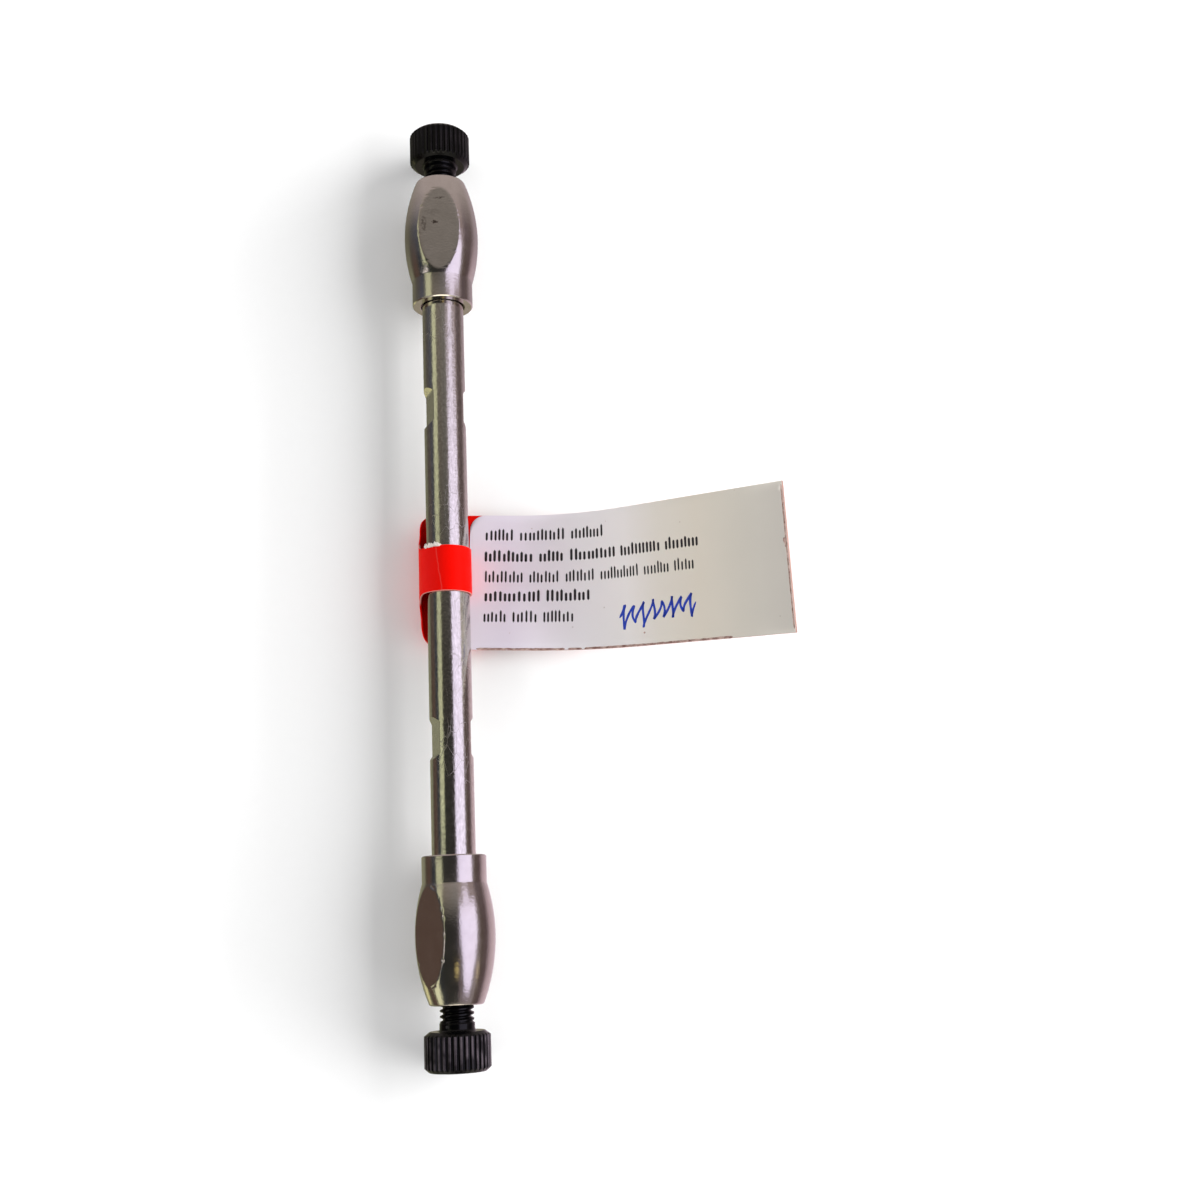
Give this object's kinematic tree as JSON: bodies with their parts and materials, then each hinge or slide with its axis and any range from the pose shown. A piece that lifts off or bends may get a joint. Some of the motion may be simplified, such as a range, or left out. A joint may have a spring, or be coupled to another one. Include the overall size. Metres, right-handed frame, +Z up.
{
  "type": "hplc column",
  "caption": "Packed steel column for liquid chromatography: tube with barrel-shaped end fittings, knurled black port plugs and a curled red tag with a white label.",
  "frame": {"origin": "on the column axis at mid-length", "axes": "+Y along the column axis towards the inlet end; +Z up as the column lies on a bench; +X towards the tag's free end"},
  "size_m": [0.0543, 0.1436, 0.0279],
  "materials": {
    "tube_steel": "ground stainless tube with a fine lengthwise grain",
    "fitting_steel": "turned and tumbled stainless steel",
    "sintered_steel": "sintered stainless steel, dull",
    "packing": "packed white silica",
    "seal_polymer": "natural tan polymer",
    "black_moulding": "black moulded plastic, satin",
    "red_film": "bright red film, semi-gloss",
    "label_paper": "white label paper with a slight sheen"
  },
  "bodies": {
    "column": {"column_tube": "tube_steel", "packed_bed": "packing", "inlet_end_fitting": "fitting_steel", "outlet_end_fitting": "fitting_steel", "inlet_frit": "sintered_steel", "outlet_frit": "sintered_steel", "inlet_seal_ring": "seal_polymer", "outlet_seal_ring": "seal_polymer", "tag": "red_film", "tag_label": "label_paper"},
    "inlet_plug_body": {"inlet_plug": "black_moulding"},
    "outlet_plug_body": {"outlet_plug": "black_moulding"}
  },
  "joints": [
    {"name": "inlet_plug_unscrew", "type": "slide", "parent": "column", "child": "inlet_plug_body", "axis": [0, 1, 0], "range_m": [0, 0.012]},
    {"name": "outlet_plug_unscrew", "type": "slide", "parent": "column", "child": "outlet_plug_body", "axis": [0, -1, 0], "range_m": [-0.0004, 0.012]}
  ]
}
